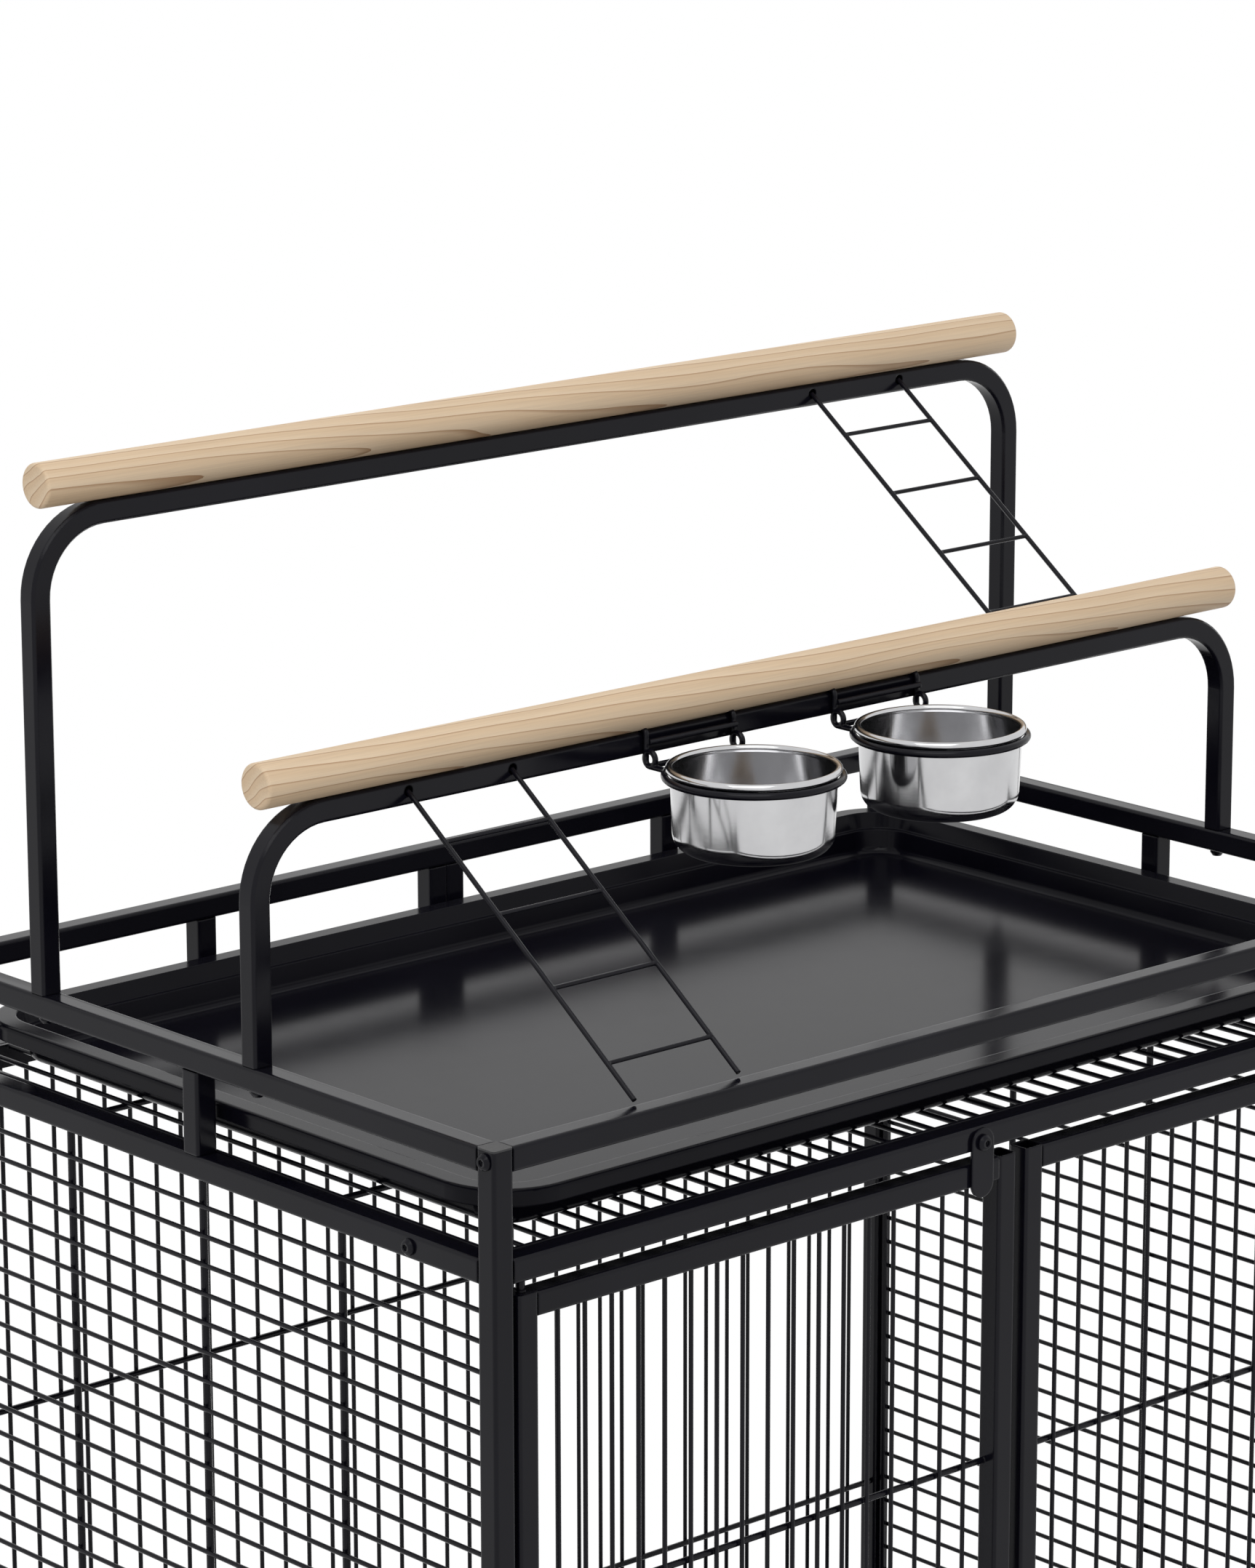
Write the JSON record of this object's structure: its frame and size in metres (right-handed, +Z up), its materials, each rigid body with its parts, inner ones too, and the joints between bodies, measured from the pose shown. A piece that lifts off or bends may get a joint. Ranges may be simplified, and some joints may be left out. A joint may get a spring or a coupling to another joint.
{
  "type": "bird cage",
  "caption": "Play-top bird cage on casters, with front doors, roof tray, arched perches, wire ladders and hanging cups.",
  "frame": {"origin": "on the floor, at the middle of the cage's footprint", "axes": "+Z up, -Y towards the doors, +X to the right seen from the front"},
  "size_m": [0.921, 0.664, 1.682],
  "materials": {
    "black_powder_coat": "satin",
    "pale_wood": "satin",
    "polished_steel": "gloss",
    "plated_steel": "satin",
    "grey_rubber": "matte",
    "black_plastic": "satin"
  },
  "bodies": {
    "cage": {"arch_bolts": "black_powder_coat", "arch_front": "black_powder_coat", "arch_rear": "black_powder_coat", "base_rails": "black_powder_coat", "caster_sockets": "black_plastic", "cup_holder_left": "black_powder_coat", "cup_holder_right": "black_powder_coat", "drawer_runners": "black_powder_coat", "frame_screws": "black_powder_coat", "front_header": "black_powder_coat", "front_sill": "black_powder_coat", "grate_runners": "black_powder_coat", "ladder_rear": "black_powder_coat", "latch_screw": "black_powder_coat", "lower_shelf": "black_powder_coat", "perch_front": "pale_wood", "perch_rear": "pale_wood", "post_front_left": "black_powder_coat", "post_front_right": "black_powder_coat", "post_plugs": "black_plastic", "post_rear_left": "black_powder_coat", "post_rear_right": "black_powder_coat", "rail_spacers": "black_powder_coat", "rear_panel": "black_powder_coat", "roof_panel": "black_powder_coat", "shelf_rails": "black_powder_coat", "side_panel_left": "black_powder_coat", "side_panel_right": "black_powder_coat", "upper_rail_front": "black_powder_coat", "upper_rail_left": "black_powder_coat", "upper_rail_rear": "black_powder_coat", "upper_rail_right": "black_powder_coat"},
    "door_left": {"door_left": "black_powder_coat"},
    "door_right": {"door_right": "black_powder_coat"},
    "latch": {"latch_plate": "black_powder_coat"},
    "tray": {"play_tray": "black_powder_coat"},
    "left_cup": {"cup_left": "polished_steel"},
    "right_cup": {"cup_right": "polished_steel"},
    "front_ladder": {"ladder_front": "black_powder_coat"},
    "drawer_body": {"drawer": "black_powder_coat"},
    "grate_body": {"floor_grate": "black_powder_coat"},
    "fork_front_left": {"caster_fork_front_left": "black_powder_coat", "caster_axle_front_left": "plated_steel"},
    "wheel_front_left": {"caster_wheel_front_left": "grey_rubber"},
    "fork_rear_left": {"caster_fork_rear_left": "black_powder_coat", "caster_axle_rear_left": "plated_steel"},
    "wheel_rear_left": {"caster_wheel_rear_left": "grey_rubber"},
    "fork_front_right": {"caster_fork_front_right": "black_powder_coat", "caster_axle_front_right": "plated_steel"},
    "wheel_front_right": {"caster_wheel_front_right": "grey_rubber"},
    "fork_rear_right": {"caster_fork_rear_right": "black_powder_coat", "caster_axle_rear_right": "plated_steel"},
    "wheel_rear_right": {"caster_wheel_rear_right": "grey_rubber"}
  },
  "joints": [
    {"name": "door_left_swing", "type": "hinge", "parent": "cage", "child": "door_left", "pos_m": [-0.4248, -0.289, 0.85], "axis": [0, 0, -1], "range_deg": [0, 110]},
    {"name": "door_right_swing", "type": "hinge", "parent": "cage", "child": "door_right", "pos_m": [0.4248, -0.289, 0.85], "axis": [0, 0, 1], "range_deg": [0, 110]},
    {"name": "latch_turn", "type": "hinge", "parent": "cage", "child": "latch", "pos_m": [-0.038, -0.297, 1.2488], "axis": [0, 1, 0], "range_deg": [-90, 90]},
    {"name": "play_tray_slide", "type": "slide", "parent": "cage", "child": "tray", "axis": [0, -1, 0], "range_m": [0, 0.45]},
    {"name": "cup_left_lift", "type": "slide", "parent": "cage", "child": "left_cup", "axis": [0, 0, 1], "range_m": [0, 0.07]},
    {"name": "cup_right_lift", "type": "slide", "parent": "cage", "child": "right_cup", "axis": [0, 0, 1], "range_m": [0, 0.07]},
    {"name": "ladder_front_lift", "type": "hinge", "parent": "cage", "child": "front_ladder", "pos_m": [-0.3245, -0.0679, 1.4883], "axis": [-1, 0, 0], "range_deg": [0, 45]},
    {"name": "drawer_slide", "type": "slide", "parent": "cage", "child": "drawer_body", "axis": [0, -1, 0], "range_m": [0, 0.45]},
    {"name": "grate_slide", "type": "slide", "parent": "cage", "child": "grate_body", "axis": [0, -1, 0], "range_m": [0, 0.45]},
    {"name": "caster_swivel_front_left", "type": "hinge", "parent": "cage", "child": "fork_front_left", "pos_m": [-0.444, -0.289, 0.058], "axis": [0, 0, 1], "continuous": true},
    {"name": "wheel_spin_front_left", "type": "hinge", "parent": "fork_front_left", "child": "wheel_front_left", "pos_m": [-0.444, -0.307, 0.025], "axis": [1, 0, 0], "continuous": true},
    {"name": "caster_swivel_rear_left", "type": "hinge", "parent": "cage", "child": "fork_rear_left", "pos_m": [-0.444, 0.289, 0.058], "axis": [0, 0, 1], "continuous": true},
    {"name": "wheel_spin_rear_left", "type": "hinge", "parent": "fork_rear_left", "child": "wheel_rear_left", "pos_m": [-0.444, 0.307, 0.025], "axis": [1, 0, 0], "continuous": true},
    {"name": "caster_swivel_front_right", "type": "hinge", "parent": "cage", "child": "fork_front_right", "pos_m": [0.444, -0.289, 0.058], "axis": [0, 0, 1], "continuous": true},
    {"name": "wheel_spin_front_right", "type": "hinge", "parent": "fork_front_right", "child": "wheel_front_right", "pos_m": [0.444, -0.307, 0.025], "axis": [1, 0, 0], "continuous": true},
    {"name": "caster_swivel_rear_right", "type": "hinge", "parent": "cage", "child": "fork_rear_right", "pos_m": [0.444, 0.289, 0.058], "axis": [0, 0, 1], "continuous": true},
    {"name": "wheel_spin_rear_right", "type": "hinge", "parent": "fork_rear_right", "child": "wheel_rear_right", "pos_m": [0.444, 0.307, 0.025], "axis": [1, 0, 0], "continuous": true}
  ]
}
